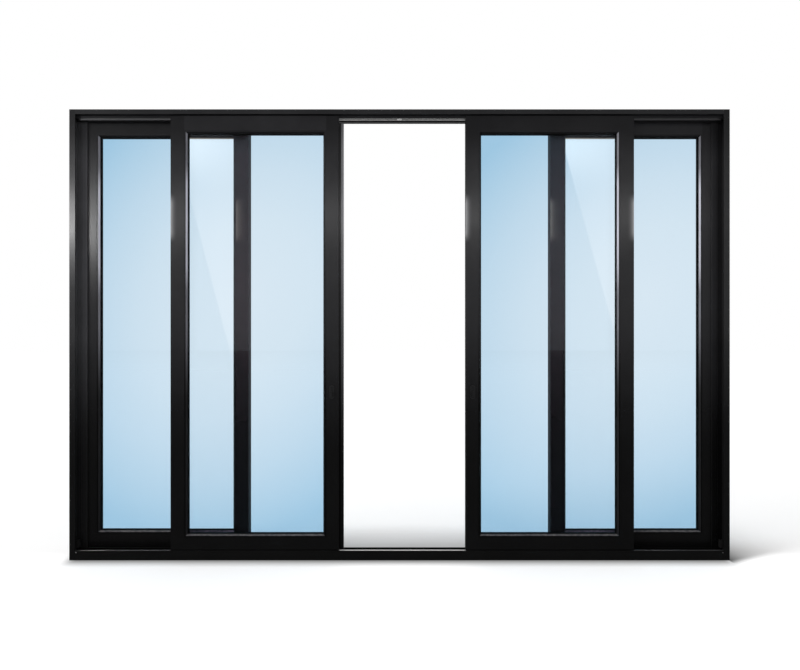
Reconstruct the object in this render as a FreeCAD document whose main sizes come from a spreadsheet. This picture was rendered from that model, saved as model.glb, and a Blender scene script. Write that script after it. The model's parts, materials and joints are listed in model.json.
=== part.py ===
import FreeCAD, Part
import os
import Sketcher
from types import SimpleNamespace

# Four panel sliding glass patio door, seen from inside: +X right, +Y to the outside, +Z up.
# The origin is the middle of the sill's underside. The outer panels are fixed on the rear track,
# the inner two slide on the front track and stand partly open.

doc = FreeCAD.newDocument("sliding_patio_door")
sheet = doc.addObject("Spreadsheet::Sheet", "Sizes")
parts = {}


class Size:
    # A length that carries its number and the formula that ties it to the sheet.
    def __init__(self, number, formula):
        self.number = number
        self.formula = formula

    def __add__(self, other):
        other = as_size(other)
        return Size(self.number + other.number, f"({self.formula} + {other.formula})")

    def __sub__(self, other):
        other = as_size(other)
        return Size(self.number - other.number, f"({self.formula} - {other.formula})")

    def __mul__(self, factor):
        return Size(self.number * factor, f"({self.formula} * {factor})")

    def __truediv__(self, factor):
        return Size(self.number / factor, f"({self.formula} / {factor})")

    def __neg__(self):
        return Size(-self.number, f"(0 - {self.formula})")


def as_size(value):
    if isinstance(value, Size):
        return value
    return Size(value, str(value))


ZERO = Size(0, "0")

# Driving sizes in millimetres, one cell of the sheet each
sizes = {
    # Overall sizes
    "overall_width": 3570,  # frame width, outside to outside
    "overall_height": 2438,  # frame height, sill underside to head top
    "frame_depth": 126,  # depth of head, sill and jambs
    # Frame sections
    "frame_wall": 3,  # base of the sill and top of the head
    "lip_wall": 4,  # front lip of the frame
    "fin_wall": 3,  # fins and rear legs of the frame
    "jamb_wall": 3.5,  # outer wall of the jamb
    "jamb_lip": 31,  # reach of the jamb's front lip
    "jamb_seat": 37.5,  # outside of the jamb to the seat of the fixed panel
    "chamber_wall": 2.5,  # walls of the hollow chambers of the frame
    "head_lip": 25.4,  # drop of the head's front lip and rear leg
    "head_fin": 46,  # drop of the head's front fin
    "head_rear_fin": 38,  # drop of the head's rear fin
    "sill_lip": 51,  # height of the sill's front leg
    "sill_fin": 45,  # height of the sill's front fin
    "sill_rear_fin": 26,  # height of the sill's rear fin, a step down to the outside
    "platform_height": 20,  # height of the platform under the fixed panels
    "sill_rear_leg": 20,  # height of the sill's rear leg
    # Panel sections
    "panel_depth": 38,  # depth of every panel
    "panel_wall": 2.5,  # walls of stiles and rails
    "stile_width": 91,  # interlock and jamb stiles, edge to sight line
    "meeting_width": 85,  # meeting stiles, edge to sight line
    "top_rail_height": 95.5,  # top rail, edge to sight line
    "bottom_rail_height": 117,  # bottom rail, edge to sight line
    "pocket_depth": 17,  # depth of the glazing pocket
    "rear_lip": 3,  # thickness of the pocket's rear lip
    "head_gap": 31.5,  # top of a panel to the top of the frame
    # Glazing
    "glass_thickness": 12,  # laminated pane
    "glass_recess": 15.5,  # face of the panel to face of the glass
    "glass_cover": 15,  # depth of the glass edge inside the pocket
    "bead_setback": 0.8,  # bead behind the face of the panel
    "bead_reveal": 1.5,  # gasket in view between the bead and the sight line
    "bead_slope": 7.5,  # width and depth of the bead's sloped edge
    "bead_wall": 1.6,  # walls of the bead
    "gasket_front": 3,  # gasket between bead and glass
    # Tracks
    "slide_clearance": 5.5,  # front lip to the face of a sliding panel
    "pocket_clearance": 2,  # fin to the face of a fixed panel
    "rail_clearance": 5,  # sliding panel to what it straddles
    "interlock_clearance": 5,  # gap around each interlock hook
    "hook_wall": 2,  # walls of the interlock hooks
    "fixed_hook_reach": 16,  # width of the fixed hook
    "slide_hook_reach": 24,  # width of the sliding hook
    "interlock_overlap": 85.5,  # overlap of the interlock stiles when closed
    "meeting_gap": 6,  # gap between the meeting stiles when closed
    "left_rest_open": 326.5,  # left panel at rest, distance from closed
    "right_rest_open": 356.5,  # right panel at rest, distance from closed
    "open_stop_gap": 45,  # outside of the jamb to an open panel
    # Roller rail and head guide
    "roller_web": 3,  # web under the roller rail
    "roller_rail_top": 45.5,  # top of the roller rail
    "roller_rail_width": 8,  # width of the roller rail
    "roller_rail_leg": 12,  # legs of the roller rail beside the web
    "rail_seat_gap": 1.5,  # web top to the solid head of the roller rail
    "guide_width": 5,  # width of the head guide
    "guide_bottom": 49.5,  # drop of the head guide's lower edge
    "guide_height": 10,  # height of the head guide
    "guide_web": 2,  # web that carries the head guide
    "groove_depth": 24,  # depth of the top rail's guide groove
    "channel_height": 58,  # height of the bottom rail's roller channel
    "channel_wall": 3,  # legs of the roller channel
    # Rollers
    "roller_inset": 150,  # sight line to the middle of a roller
    "roller_gap": 0.3,  # roller groove to the rail
    "roller_tread": 12,  # radius of the roller at the bottom of its groove
    "roller_flange": 15.5,  # radius of the roller's flanges
    "roller_width": 13,  # width of the roller
    "roller_groove": 3.6,  # width of the floor of its groove
    "axle_radius": 4,  # radius of the roller axle
    "axle_gap": 0.3,  # roller bore around its axle
    "carriage_length": 70,  # length of the roller carriage
    "carriage_width": 24,  # width of the roller carriage
    "carriage_wall": 3,  # walls of the roller carriage
    "carriage_drop": 28,  # height of the roller carriage
    # Meeting stiles and astragal
    "meeting_groove": 24.5,  # depth of the groove in a meeting stile
    "meeting_groove_width": 18,  # width of the groove in a meeting stile
    "astragal_reach": 25.5,  # astragal beyond its stile
    "astragal_width": 8,  # thickness of the astragal's tongue
    "astragal_end": 36,  # ends of the astragal short of the stile
    # Rear track covers, jamb covers and stops
    "cover_wall": 2,  # walls of the track covers
    "cover_side_gap": 0.4,  # track cover to the fins
    "cover_drop": 1,  # track cover below the edge of the rear fin
    "cover_leg_inset": 3,  # edge of the track cover to its leg
    "jamb_cover_outer": 29,  # outside of the jamb to the jamb cover
    "jamb_cover_width": 32,  # width of the jamb cover
    "jamb_cover_depth": 3,  # thickness of the jamb cover
    "stop_width": 19,  # width of an open stop
    "stop_height": 40,  # height of an open stop
    "stop_level": 60,  # underside of the open stops above the floor
    "stop_clearance": 5,  # open panel to its stop

    # Weep slots through the back of the sill
    "weep_end": 385,  # outside of the frame to the middle of the outer slots
    "weep_count": 5,  # slots
    "weep_length": 25,  # length of a slot
    "weep_height": 6,  # height of a slot
    "weep_level": 5,  # underside of the sill to the slots
    # Fixing holes
    "anchor_hole": 3.25,  # radius of the fixing holes
    "jamb_anchor_end": 219,  # ends of the jamb to its first and last hole
    "jamb_anchor_count": 6,  # holes in each jamb
    "head_anchor_end": 285,  # outside of the frame to the first and last hole of the head
    "head_anchor_count": 7,  # holes in the head
    # Lock on each meeting stile
    "lock_height": 908,  # middle of the lock plate above the floor
    "lock_inset": 38,  # edge of the meeting stile to the lock
    "lock_plate_width": 28,  # width of the lock plate
    "lock_plate_height": 76,  # height of the lock plate
    "lock_plate_depth": 3,  # thickness of the lock plate
    "key_radius": 5.5,  # radius of the key cylinder
    "key_depth": 1.5,  # key cylinder proud of the plate
    "key_rise": 25,  # key cylinder above the middle of the plate
    "turn_drop": 9,  # thumb turn below the middle of the plate
    "rose_radius": 12,  # radius of the thumb turn's rose
    "rose_depth": 2.5,  # thickness of the thumb turn's rose
    "turn_gap": 0.5,  # thumb turn to its rose
    "turn_stem": 5,  # radius of the thumb turn's stem
    "turn_stem_length": 5,  # length of the thumb turn's stem
    "turn_width": 8,  # thickness of the thumb turn's lever
    "turn_length": 30,  # length of the thumb turn's lever
    "turn_depth": 10,  # depth of the thumb turn's lever
    # How far a cutting shape runs past what it cuts
    "cut_overrun": 2,  # overrun of cutting shapes
}

door = SimpleNamespace()
for row, (alias, number) in enumerate(sizes.items(), 1):
    sheet.set(f"A{row}", alias.replace("_", " "))
    sheet.set(f"B{row}", str(number))
    sheet.setAlias(f"B{row}", alias)
    setattr(door, alias, Size(number, f"Sizes.{alias}"))

# Places worked out from the sizes
half_width = door.overall_width / 2
half_depth = door.frame_depth / 2
slide_face = door.lip_wall + door.slide_clearance - half_depth
slide_back = slide_face + door.panel_depth
panel_gap = door.interlock_clearance * 3 + door.hook_wall * 2
fixed_face = slide_back + panel_gap
track_centre = slide_face + door.panel_depth / 2
front_fin_back = fixed_face - door.pocket_clearance
front_fin_face = front_fin_back - door.fin_wall
rear_fin_face = fixed_face + door.panel_depth + door.pocket_clearance
rear_fin_back = rear_fin_face + door.fin_wall
panel_bottom = door.platform_height
panel_top = door.overall_height - door.head_gap
panel_height = panel_top - panel_bottom
daylight_height = panel_height - door.top_rail_height - door.bottom_rail_height
daylight_bottom = panel_bottom + door.bottom_rail_height
fixed_stiles = door.stile_width * 2
slide_stiles = door.stile_width + door.meeting_width
daylight_width = (half_width - door.jamb_seat - door.meeting_gap / 2 + door.interlock_overlap
                  - fixed_stiles - slide_stiles) / 2
slide_width = slide_stiles + daylight_width
lip_face = door.panel_depth - door.rear_lip
bead_back = door.glass_recess - door.gasket_front
rail_top_in_panel = door.roller_rail_top - panel_bottom
seat_x = half_width - door.jamb_seat


def bind(thing, path, size):
    thing.setExpression(path, as_size(size).formula)


def place(thing, x, y, z):
    bind(thing, "Placement.Base.x", x)
    bind(thing, "Placement.Base.y", y)
    bind(thing, "Placement.Base.z", z)


def vector(point):
    return FreeCAD.Vector(as_size(point[0]).number, as_size(point[1]).number, 0)


def new_body(label):
    body = doc.addObject("PartDesign::Body", label)
    body.Label = label
    return body


def origin_feature(body, role):
    for feature in body.Origin.OriginFeatures:
        if feature.Role == role:
            return feature
    raise ValueError(role)


def new_sketch(body, name, role):
    sketch = body.newObject("Sketcher::SketchObject", name)
    sketch.AttachmentSupport = [(origin_feature(body, role), "")]
    sketch.MapMode = "FlatFace"
    return sketch


def add_loop(sketch, points):
    # One closed outline whose corners are each tied to the sheet.
    first = sketch.GeometryCount
    count = len(points)
    lines = []
    joins = []
    for index in range(count):
        following = (index + 1) % count
        lines.append(Part.LineSegment(vector(points[index]), vector(points[following])))
        joins.append(Sketcher.Constraint("Coincident", first + index, 2, first + following, 1))
    sketch.addGeometry(lines, False)
    sketch.addConstraint(joins)
    for index, point in enumerate(points):
        for kind, size in zip(("DistanceX", "DistanceY"), point):
            size = as_size(size)
            number = sketch.addConstraint(
                Sketcher.Constraint(kind, -1, 1, first + index, 1, size.number))
            bind(sketch, f"Constraints[{number}]", size)


def add_circle(sketch, centre, radius):
    index = sketch.GeometryCount
    circle = Part.Circle(vector(centre), FreeCAD.Vector(0, 0, 1), radius.number)
    sketch.addGeometry(circle, False)
    for kind, size in zip(("DistanceX", "DistanceY"), centre):
        size = as_size(size)
        number = sketch.addConstraint(Sketcher.Constraint(kind, -1, 1, index, 3, size.number))
        bind(sketch, f"Constraints[{number}]", size)
    number = sketch.addConstraint(Sketcher.Constraint("Radius", index, radius.number))
    bind(sketch, f"Constraints[{number}]", radius)


def rectangle(low_x, low_y, high_x, high_y):
    return [(low_x, low_y), (high_x, low_y), (high_x, high_y), (low_x, high_y)]


def extrude(body, role, loops, length, backward=False):
    sketch = new_sketch(body, "Section", role)
    for loop in loops:
        add_loop(sketch, loop)
    pad = body.newObject("PartDesign::Pad", "Extrusion")
    pad.Profile = sketch
    pad.Reversed = backward
    bind(pad, "Length", length)
    return pad


def cut_through(body, name, role, loops):
    sketch = new_sketch(body, name + "Sketch", role)
    for loop in loops:
        add_loop(sketch, loop)
    pocket = body.newObject("PartDesign::Pocket", name)
    pocket.Profile = sketch
    pocket.SideType = "Two sides"
    pocket.Type = "ThroughAll"
    pocket.Type2 = "ThroughAll"
    return pocket


def spread(body, feature, axis_role, length, count):
    pattern = body.newObject("PartDesign::LinearPattern", feature.Name + "Row")
    pattern.Originals = [feature]
    pattern.Direction = (origin_feature(body, axis_role), [""])
    bind(pattern, "Occurrences", count)
    bind(pattern, "Length", length)
    body.Tip = pattern


def hole_row(body, role, centre, depth, forward, axis_role, length, count):
    # Holes of one size, spread evenly over a length.
    sketch = new_sketch(body, "HoleSketch", role)
    add_circle(sketch, centre, door.anchor_hole)
    pocket = body.newObject("PartDesign::Pocket", "Hole")
    pocket.Profile = sketch
    pocket.Reversed = forward
    bind(pocket, "Length", depth)
    spread(body, pocket, axis_role, length, count)


def mirrored(points, toward):
    return [(as_size(x) * toward, y) for x, y in points]


def new_box(name, low, size):
    box = doc.addObject("Part::Box", name)
    for path, length in zip(("Length", "Width", "Height"), size):
        bind(box, path, length)
    place(box, *low)
    return box


def new_cylinder(name, centre, radius, length):
    # A cylinder whose axis runs along +Y from its centre point.
    cylinder = doc.addObject("Part::Cylinder", name)
    bind(cylinder, "Radius", radius)
    bind(cylinder, "Height", length)
    cylinder.Placement.Rotation = FreeCAD.Rotation(FreeCAD.Vector(1, 0, 0), -90)
    place(cylinder, *centre)
    return cylinder


def cut(name, base, tool):
    result = doc.addObject("Part::Cut", name)
    result.Base = base
    result.Tool = tool
    return result


def fuse(name, shapes):
    result = doc.addObject("Part::MultiFuse", name)
    result.Shapes = shapes
    return result


def group(name, members):
    # Like pieces that don't touch and share one node.
    result = doc.addObject("Part::Compound", name)
    result.Links = members
    return result


def keep(label, thing):
    thing.Label = label
    parts[label] = thing


# Head and sill: sections in the YZ plane, run between the outer walls of the jambs,
# with their ends coped round the front lip and the chamber of each jamb.

section_length = door.overall_width - door.jamb_wall * 2
section_start = door.jamb_wall - half_width


def cope_ends(body):
    lip_reach = door.jamb_lip - door.jamb_wall
    seat_reach = door.jamb_seat - door.jamb_wall
    loops = []
    for reach, low_y, high_y in (
            (lip_reach, -half_depth - door.cut_overrun, door.lip_wall - half_depth),
            (seat_reach, front_fin_back, half_depth + door.cut_overrun)):
        loops.append(rectangle(-door.cut_overrun, low_y, reach, high_y))
        loops.append(rectangle(section_length - reach, low_y, section_length + door.cut_overrun, high_y))
    cut_through(body, "Cope", "XY_Plane", loops)


def add_weep_slots(body):
    # They lead from the front track through both fins and the rear leg to the outside.
    middle = door.weep_end - door.jamb_wall
    sketch = new_sketch(body, "WeepSketch", "XZ_Plane")
    add_loop(sketch, rectangle(middle - door.weep_length / 2, door.weep_level,
                               middle + door.weep_length / 2, door.weep_level + door.weep_height))
    pocket = body.newObject("PartDesign::Pocket", "WeepSlot")
    pocket.Profile = sketch
    pocket.SideType = "Two sides"
    pocket.Type = "Length"
    bind(pocket, "Length", half_depth + door.cut_overrun)
    pocket.Type2 = "Length"
    bind(pocket, "Length2", door.cut_overrun - front_fin_face)
    spread(body, pocket, "X_Axis", door.overall_width - door.weep_end * 2, door.weep_count)


def build_sill():
    body = new_body("frame_sill")
    web_face = track_centre - door.roller_web / 2
    web_back = track_centre + door.roller_web / 2
    web_top = door.roller_rail_top - door.roller_rail_width / 2 - door.rail_seat_gap
    outline = [
        (-half_depth, ZERO), (-half_depth, door.sill_lip),
        (door.lip_wall - half_depth, door.sill_lip), (door.lip_wall - half_depth, door.frame_wall),
        (web_face, door.frame_wall), (web_face, web_top),
        (web_back, web_top), (web_back, door.frame_wall),
        (front_fin_face, door.frame_wall), (front_fin_face, door.sill_fin),
        (front_fin_back, door.sill_fin), (front_fin_back, door.platform_height),
        (rear_fin_face, door.platform_height), (rear_fin_face, door.sill_rear_fin),
        (rear_fin_back, door.sill_rear_fin), (rear_fin_back, door.frame_wall),
        (half_depth - door.fin_wall, door.frame_wall), (half_depth - door.fin_wall, door.sill_rear_leg),
        (half_depth, door.sill_rear_leg), (half_depth, ZERO)]
    chamber = rectangle(front_fin_back, door.frame_wall,
                        rear_fin_face, door.platform_height - door.chamber_wall)
    extrude(body, "YZ_Plane", [outline, chamber], section_length)
    cope_ends(body)
    add_weep_slots(body)
    place(body, section_start, ZERO, ZERO)
    keep("frame_sill", body)


def build_head():
    body = new_body("frame_head")
    web_face = track_centre - door.guide_web / 2
    web_back = track_centre + door.guide_web / 2
    web_drop = door.guide_bottom - door.cover_wall
    # The section is drawn from the top of the head downward, so every height is negative.
    outline = [
        (-half_depth, ZERO), (-half_depth, -door.head_lip),
        (door.lip_wall - half_depth, -door.head_lip), (door.lip_wall - half_depth, -door.frame_wall),
        (web_face, -door.frame_wall), (web_face, -web_drop),
        (web_back, -web_drop), (web_back, -door.frame_wall),
        (front_fin_face, -door.frame_wall), (front_fin_face, -door.head_fin),
        (front_fin_back, -door.head_fin), (front_fin_back, -door.frame_wall),
        (rear_fin_face, -door.frame_wall), (rear_fin_face, -door.head_rear_fin),
        (rear_fin_back, -door.head_rear_fin), (rear_fin_back, -door.frame_wall),
        (half_depth - door.fin_wall, -door.frame_wall), (half_depth - door.fin_wall, -door.head_lip),
        (half_depth, -door.head_lip), (half_depth, ZERO)]
    extrude(body, "YZ_Plane", [outline], section_length)
    cope_ends(body)
    hole_y = (track_centre + front_fin_face) / 2
    hole_row(body, "XY_Plane", (door.head_anchor_end - door.jamb_wall, hole_y), door.frame_wall, False,
             "X_Axis", door.overall_width - door.head_anchor_end * 2, door.head_anchor_count)
    place(body, section_start, ZERO, door.overall_height)
    keep("frame_head", body)


def build_jamb(side, toward):
    # Drawn from the outside of the jamb toward the opening.
    body = new_body(f"frame_jamb_{side}")
    chamber_back = rear_fin_back
    leg_face = half_depth - door.fin_wall
    outline = [
        (ZERO, -half_depth), (door.jamb_lip, -half_depth),
        (door.jamb_lip, door.lip_wall - half_depth), (door.jamb_wall, door.lip_wall - half_depth),
        (door.jamb_wall, fixed_face), (door.jamb_seat, fixed_face),
        (door.jamb_seat, chamber_back), (door.jamb_wall, chamber_back),
        (door.jamb_wall, leg_face), (door.jamb_seat, leg_face),
        (door.jamb_seat, half_depth), (ZERO, half_depth)]
    chamber = rectangle(door.jamb_wall, fixed_face + door.chamber_wall,
                        door.jamb_seat - door.chamber_wall, chamber_back - door.chamber_wall)
    extrude(body, "XY_Plane", [mirrored(outline, toward), mirrored(chamber, toward)], door.overall_height)
    hole_row(body, "YZ_Plane", (track_centre, door.jamb_anchor_end), door.jamb_wall, toward > 0,
             "Z_Axis", door.overall_height - door.jamb_anchor_end * 2, door.jamb_anchor_count)
    place(body, -half_width * toward, ZERO, ZERO)
    keep(f"frame_jamb_{side}", body)


# The roller rail is a stainless cap with a round head that sits over the web of the sill.

def build_roller_rail():
    body = new_body("sill_roller_rail")
    radius = door.roller_rail_width / 2
    head_centre = door.roller_rail_top - radius
    slot_top = head_centre - door.rail_seat_gap
    leg_bottom = head_centre - door.roller_rail_leg
    sketch = new_sketch(body, "Section", "YZ_Plane")
    corners = [
        (radius, head_centre), (radius, leg_bottom),
        (door.roller_web / 2, leg_bottom), (door.roller_web / 2, slot_top),
        (-door.roller_web / 2, slot_top), (-door.roller_web / 2, leg_bottom),
        (-radius, leg_bottom), (-radius, head_centre)]
    count = len(corners)
    lines = []
    for index in range(count - 1):
        lines.append(Part.LineSegment(vector(corners[index]), vector(corners[index + 1])))
    crown = vector((ZERO, door.roller_rail_top))
    arc = Part.Arc(vector(corners[0]), crown, vector(corners[-1]))
    sketch.addGeometry(lines + [arc], False)
    arc_index = count - 1
    joins = []
    for index in range(count - 2):
        joins.append(Sketcher.Constraint("Coincident", index, 2, index + 1, 1))
    joins.append(Sketcher.Constraint("Coincident", arc_index, 1, 0, 1))
    joins.append(Sketcher.Constraint("Coincident", arc_index, 2, count - 2, 2))
    sketch.addConstraint(joins)
    ends = [(index, 1) for index in range(count - 1)]
    ends.append((count - 2, 2))
    for (line, end), corner in zip(ends, corners):
        for kind, size in zip(("DistanceX", "DistanceY"), corner):
            number = sketch.addConstraint(Sketcher.Constraint(kind, -1, 1, line, end, size.number))
            bind(sketch, f"Constraints[{number}]", size)
    number = sketch.addConstraint(
        Sketcher.Constraint("DistanceY", -1, 1, arc_index, 3, head_centre.number))
    bind(sketch, f"Constraints[{number}]", head_centre)
    pad = body.newObject("PartDesign::Pad", "Extrusion")
    pad.Profile = sketch
    bind(pad, "Length", section_length)
    place(body, section_start, track_centre, ZERO)
    keep("sill_roller_rail", body)


def build_head_guide():
    # A paler strip clipped over the web of the head, open at its top.
    body = new_body("head_guide_rail")
    outer = door.guide_width / 2
    inner = door.guide_web / 2
    outline = [
        (-outer, ZERO), (outer, ZERO), (outer, door.guide_height), (inner, door.guide_height),
        (inner, door.cover_wall), (-inner, door.cover_wall),
        (-inner, door.guide_height), (-outer, door.guide_height)]
    extrude(body, "YZ_Plane", [outline], section_length)
    place(body, section_start, track_centre, door.overall_height - door.guide_bottom)
    keep("head_guide_rail", body)


def build_track_cover(label, top, height, upward):
    # A snap-in strip with two legs that closes the rear track between the fixed panels.
    body = new_body(label)
    depth = rear_fin_face - front_fin_back - door.cover_side_gap * 2
    leg = door.cover_leg_inset
    far_leg = depth - door.cover_leg_inset
    outline = [
        (ZERO, ZERO), (depth, ZERO), (depth, door.cover_wall), (far_leg, door.cover_wall),
        (far_leg, height), (far_leg - door.cover_wall, height), (far_leg - door.cover_wall, door.cover_wall),
        (leg + door.cover_wall, door.cover_wall), (leg + door.cover_wall, height), (leg, height),
        (leg, door.cover_wall), (ZERO, door.cover_wall)]
    if not upward:
        outline = [(y, -z) for y, z in outline]
    inner_edge = seat_x - fixed_stiles - daylight_width
    extrude(body, "YZ_Plane", [outline], inner_edge * 2)
    place(body, -inner_edge, front_fin_back + door.cover_side_gap, top)
    keep(label, body)


def build_jamb_covers():
    # Strips with eased front edges over the joint of jamb and fixed panel.
    ease = door.jamb_cover_depth / 4
    length = door.overall_height - door.head_fin - door.sill_fin
    covers = []
    for side, toward in (("left", 1), ("right", -1)):
        body = new_body(f"jamb_cover_{side}")
        outline = [
            (ZERO, ease), (ease, ZERO), (door.jamb_cover_width - ease, ZERO),
            (door.jamb_cover_width, ease), (door.jamb_cover_width, door.jamb_cover_depth),
            (ZERO, door.jamb_cover_depth)]
        extrude(body, "XY_Plane", [mirrored(outline, toward)], length)
        outer_edge = -(half_width - door.jamb_cover_outer) * toward
        place(body, outer_edge, fixed_face - door.jamb_cover_depth, door.sill_fin)
        covers.append(body)
    keep("jamb_covers", group("JambCovers", covers))


def build_open_stops():
    length = door.open_stop_gap - door.jamb_wall - door.stop_clearance
    stops = []
    for side, x in (("left", door.jamb_wall - half_width), ("right", half_width - door.jamb_wall - length)):
        low = (x, track_centre - door.stop_width / 2, door.stop_level)
        stops.append(new_box(f"OpenStop_{side}", low, (length, door.stop_width, door.stop_height)))
    keep("open_stops", group("OpenStops", stops))


# Stiles: hollow sections in the XY plane, drawn from their outer edge toward the glass.

def plain_chamber(width):
    return rectangle(door.panel_wall, door.panel_wall,
                     width - door.pocket_depth - door.panel_wall, door.panel_depth - door.panel_wall)


def jamb_stile_loops():
    floor = door.stile_width - door.pocket_depth
    outline = [
        (ZERO, ZERO), (floor, ZERO), (floor, lip_face),
        (door.stile_width, lip_face), (door.stile_width, door.panel_depth), (ZERO, door.panel_depth)]
    return [outline, plain_chamber(door.stile_width)]


def fixed_interlock_loops():
    floor = door.stile_width - door.pocket_depth
    hook_face = door.interlock_clearance - panel_gap
    outline = [
        (ZERO, hook_face), (door.fixed_hook_reach, hook_face),
        (door.fixed_hook_reach, hook_face + door.hook_wall), (door.hook_wall, hook_face + door.hook_wall),
        (door.hook_wall, ZERO), (floor, ZERO), (floor, lip_face),
        (door.stile_width, lip_face), (door.stile_width, door.panel_depth), (ZERO, door.panel_depth)]
    return [outline, plain_chamber(door.stile_width)]


def slide_interlock_loops():
    floor = door.stile_width - door.pocket_depth
    hook_back = door.panel_depth + panel_gap - door.interlock_clearance
    tip = door.interlock_overlap - door.hook_wall - door.interlock_clearance
    root = tip - door.slide_hook_reach
    outline = [
        (ZERO, ZERO), (floor, ZERO), (floor, lip_face),
        (door.stile_width, lip_face), (door.stile_width, door.panel_depth),
        (root + door.hook_wall, door.panel_depth),
        (root + door.hook_wall, hook_back - door.hook_wall), (tip, hook_back - door.hook_wall),
        (tip, hook_back), (root, hook_back), (root, door.panel_depth), (ZERO, door.panel_depth)]
    return [outline, plain_chamber(door.stile_width)]


def meeting_stile_loops():
    floor = door.meeting_width - door.pocket_depth
    groove_face = (door.panel_depth - door.meeting_groove_width) / 2
    groove_back = groove_face + door.meeting_groove_width
    outline = [
        (ZERO, ZERO), (floor, ZERO), (floor, lip_face),
        (door.meeting_width, lip_face), (door.meeting_width, door.panel_depth), (ZERO, door.panel_depth),
        (ZERO, groove_back), (door.meeting_groove, groove_back),
        (door.meeting_groove, groove_face), (ZERO, groove_face)]
    inner_x = door.panel_wall
    far_x = floor - door.panel_wall
    far_y = door.panel_depth - door.panel_wall
    wall_x = door.meeting_groove + door.panel_wall
    chamber = [
        (inner_x, door.panel_wall), (far_x, door.panel_wall), (far_x, far_y), (inner_x, far_y),
        (inner_x, groove_back + door.panel_wall), (wall_x, groove_back + door.panel_wall),
        (wall_x, groove_face - door.panel_wall), (inner_x, groove_face - door.panel_wall)]
    return [outline, chamber]


def track_notches():
    # Cuts at both ends of a sliding stile, open toward the roller rail and the head guide.
    centre = door.panel_depth / 2
    foot = door.roller_rail_width / 2 + door.rail_clearance
    crown = door.guide_width / 2 + door.rail_clearance
    foot_top = rail_top_in_panel + door.rail_clearance
    return [
        rectangle(centre - foot, -door.cut_overrun, centre + foot, foot_top),
        rectangle(centre - crown, panel_height - door.groove_depth,
                  centre + crown, panel_height + door.cut_overrun)]


def hook_copes(low_y, high_y):
    # The hooks stop short of the fins of sill and head.
    foot_top = door.sill_fin - panel_bottom + door.rail_clearance
    crown_bottom = door.overall_height - door.head_fin - panel_bottom - door.rail_clearance
    return [
        rectangle(low_y, -door.cut_overrun, high_y, foot_top),
        rectangle(low_y, crown_bottom, high_y, panel_height + door.cut_overrun)]


def build_stile(label, edge_x, face_y, toward, loops, cuts):
    body = new_body(label)
    extrude(body, "XY_Plane", [mirrored(loop, toward) for loop in loops], panel_height)
    if cuts:
        cut_through(body, "EndCuts", "YZ_Plane", cuts)
    place(body, edge_x, face_y, panel_bottom)
    keep(label, body)


# Rails: hollow sections in the YZ plane, run between the pocket floors of the stiles,
# their rear walls coped round the rear lips of the stiles.

rail_length = daylight_width + door.pocket_depth * 2


def cope_rail(body):
    beyond_y = door.panel_depth + door.cut_overrun
    low = rectangle(-door.cut_overrun, lip_face, door.pocket_depth, beyond_y)
    high = rectangle(rail_length - door.pocket_depth, lip_face, rail_length + door.cut_overrun, beyond_y)
    cut_through(body, "Cope", "XY_Plane", [low, high])


def build_top_rail(label, daylight_left, face_y):
    body = new_body(label)
    groove_half = door.guide_width / 2 + door.rail_clearance
    groove_face = door.panel_depth / 2 - groove_half
    groove_back = door.panel_depth / 2 + groove_half
    groove_floor = door.top_rail_height - door.groove_depth
    outline = [
        (ZERO, door.pocket_depth), (lip_face, door.pocket_depth), (lip_face, ZERO),
        (door.panel_depth, ZERO), (door.panel_depth, door.top_rail_height),
        (groove_back, door.top_rail_height), (groove_back, groove_floor), (groove_face, groove_floor),
        (groove_face, door.top_rail_height), (ZERO, door.top_rail_height)]
    low_z = door.pocket_depth + door.panel_wall
    high_z = door.top_rail_height - door.panel_wall
    far_y = door.panel_depth - door.panel_wall
    chamber = [
        (door.panel_wall, low_z), (far_y, low_z), (far_y, high_z), (groove_back + door.panel_wall, high_z),
        (groove_back + door.panel_wall, groove_floor - door.panel_wall),
        (groove_face - door.panel_wall, groove_floor - door.panel_wall),
        (groove_face - door.panel_wall, high_z), (door.panel_wall, high_z)]
    extrude(body, "YZ_Plane", [outline, chamber], rail_length)
    cope_rail(body)
    place(body, daylight_left - door.pocket_depth, face_y, panel_top - door.top_rail_height)
    keep(label, body)


def build_bottom_rail(label, daylight_left, face_y):
    body = new_body(label)
    shelf = door.bottom_rail_height - door.pocket_depth
    back_leg = door.panel_depth - door.channel_wall
    outline = [
        (ZERO, ZERO), (door.channel_wall, ZERO), (door.channel_wall, door.channel_height),
        (back_leg, door.channel_height), (back_leg, ZERO), (door.panel_depth, ZERO),
        (door.panel_depth, door.bottom_rail_height), (lip_face, door.bottom_rail_height),
        (lip_face, shelf), (ZERO, shelf)]
    chamber = rectangle(door.panel_wall, door.channel_height + door.panel_wall,
                        door.panel_depth - door.panel_wall, shelf - door.panel_wall)
    extrude(body, "YZ_Plane", [outline, chamber], rail_length)
    cope_rail(body)
    place(body, daylight_left - door.pocket_depth, face_y, panel_bottom)
    keep(label, body)


# Glazing: the pane, a gasket that wraps its edge, and the sloped bead that holds both.

def build_glass(label, daylight_left, face_y):
    low = (daylight_left - door.glass_cover, face_y + door.glass_recess, daylight_bottom - door.glass_cover)
    size = (daylight_width + door.glass_cover * 2, door.glass_thickness,
            daylight_height + door.glass_cover * 2)
    glass = new_box(label, low, size)
    keep(label, glass)
    return glass


def build_gasket(label, daylight_left, face_y, glass):
    depth = lip_face - bead_back
    low = (daylight_left - door.pocket_depth, face_y + bead_back, daylight_bottom - door.pocket_depth)
    size = (daylight_width + door.pocket_depth * 2, depth, daylight_height + door.pocket_depth * 2)
    ring = new_box(label + "_block", low, size)
    opening_low = (daylight_left, face_y + bead_back - door.cut_overrun, daylight_bottom)
    opening_size = (daylight_width, depth + door.cut_overrun * 2, daylight_height)
    opening = new_box(label + "_opening", opening_low, opening_size)
    frame = cut(label + "_frame", ring, opening)
    keep(label, cut(label, frame, glass))


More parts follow.
